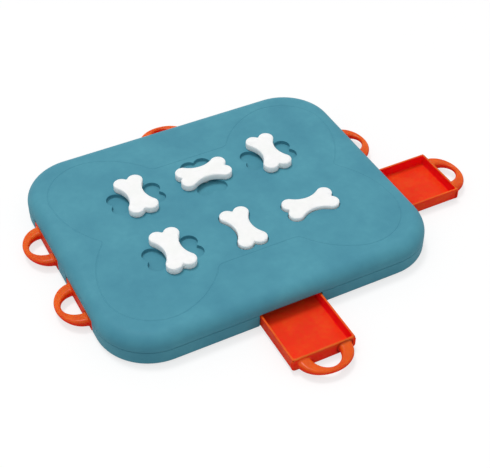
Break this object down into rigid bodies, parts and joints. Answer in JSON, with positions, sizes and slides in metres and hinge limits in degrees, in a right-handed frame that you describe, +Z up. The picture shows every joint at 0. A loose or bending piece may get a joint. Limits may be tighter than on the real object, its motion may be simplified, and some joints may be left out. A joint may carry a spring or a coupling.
{
  "type": "dog puzzle feeder toy",
  "caption": "Flat rounded board with pull-out treat drawers on all four sides, each released by a bone-shaped turn knob on top.",
  "frame": {"origin": "centre of the board's flat underside, between the shell's four sides", "axes": "+X along the board's long side, towards the side with one open drawer; +Y away from the side whose middle drawer is open; +Z up"},
  "size_m": [0.485, 0.421, 0.0419],
  "materials": {
    "board_plastic": "fine spark-eroded texture, matt teal",
    "drawer_plastic": "moulded, satin orange-red",
    "bone_plastic": "moulded, satin white",
    "cam_plastic": "natural acetal",
    "screw_steel": "zinc plated",
    "pad_rubber": "matt black"
  },
  "bodies": {
    "board": {"top_shell": "board_plastic", "bottom_shell": "board_plastic", "shell_screws": "screw_steel", "grip_pads": "pad_rubber"},
    "drawer_left_front": {"drawer_left_front": "drawer_plastic"},
    "drawer_left_back": {"drawer_left_back": "drawer_plastic"},
    "drawer_right_front": {"drawer_right_front": "drawer_plastic"},
    "drawer_right_back": {"drawer_right_back": "drawer_plastic"},
    "drawer_front": {"drawer_front": "drawer_plastic"},
    "drawer_back": {"drawer_back": "drawer_plastic"},
    "knob_left_front": {"bone_left_front": "bone_plastic", "lock_cam_left_front": "cam_plastic", "cam_screw_left_front": "screw_steel"},
    "knob_left_back": {"bone_left_back": "bone_plastic", "lock_cam_left_back": "cam_plastic", "cam_screw_left_back": "screw_steel"},
    "knob_right_front": {"bone_right_front": "bone_plastic", "lock_cam_right_front": "cam_plastic", "cam_screw_right_front": "screw_steel"},
    "knob_right_back": {"bone_right_back": "bone_plastic", "lock_cam_right_back": "cam_plastic", "cam_screw_right_back": "screw_steel"},
    "knob_front": {"bone_front": "bone_plastic", "lock_cam_front": "cam_plastic", "cam_screw_front": "screw_steel"},
    "knob_back": {"bone_back": "bone_plastic", "lock_cam_back": "cam_plastic", "cam_screw_back": "screw_steel"}
  },
  "joints": [
    {"name": "drawer_left_front_slide", "type": "slide", "parent": "board", "child": "drawer_left_front", "axis": [-1, 0, 0], "range_m": [0, 0.08]},
    {"name": "drawer_left_back_slide", "type": "slide", "parent": "board", "child": "drawer_left_back", "axis": [-1, 0, 0], "range_m": [0, 0.08]},
    {"name": "drawer_right_front_slide", "type": "slide", "parent": "board", "child": "drawer_right_front", "axis": [1, 0, 0], "range_m": [-0.066, 0.014]},
    {"name": "drawer_right_back_slide", "type": "slide", "parent": "board", "child": "drawer_right_back", "axis": [1, 0, 0], "range_m": [0, 0.08]},
    {"name": "drawer_front_slide", "type": "slide", "parent": "board", "child": "drawer_front", "axis": [0, -1, 0], "range_m": [-0.065, 0.015]},
    {"name": "drawer_back_slide", "type": "slide", "parent": "board", "child": "drawer_back", "axis": [0, 1, 0], "range_m": [-0.003, 0.077]},
    {"name": "knob_left_front_turn", "type": "hinge", "parent": "board", "child": "knob_left_front", "pos_m": [-0.0805, -0.0475, 0.0332], "axis": [0, 0, 1], "continuous": true},
    {"name": "knob_left_back_turn", "type": "hinge", "parent": "board", "child": "knob_left_back", "pos_m": [-0.0805, 0.0475, 0.0332], "axis": [0, 0, 1], "continuous": true},
    {"name": "knob_right_front_lift", "type": "slide", "parent": "board", "child": "knob_right_front", "axis": [0, 0, 1], "range_m": [0, 0.004]},
    {"name": "knob_right_back_turn", "type": "hinge", "parent": "board", "child": "knob_right_back", "pos_m": [0.0805, 0.0475, 0.0332], "axis": [0, 0, 1], "continuous": true},
    {"name": "knob_front_lift", "type": "slide", "parent": "board", "child": "knob_front", "axis": [0, 0, 1], "range_m": [0, 0.004]},
    {"name": "knob_back_turn", "type": "hinge", "parent": "board", "child": "knob_back", "pos_m": [0, 0.0475, 0.0332], "axis": [0, 0, 1], "continuous": true}
  ]
}
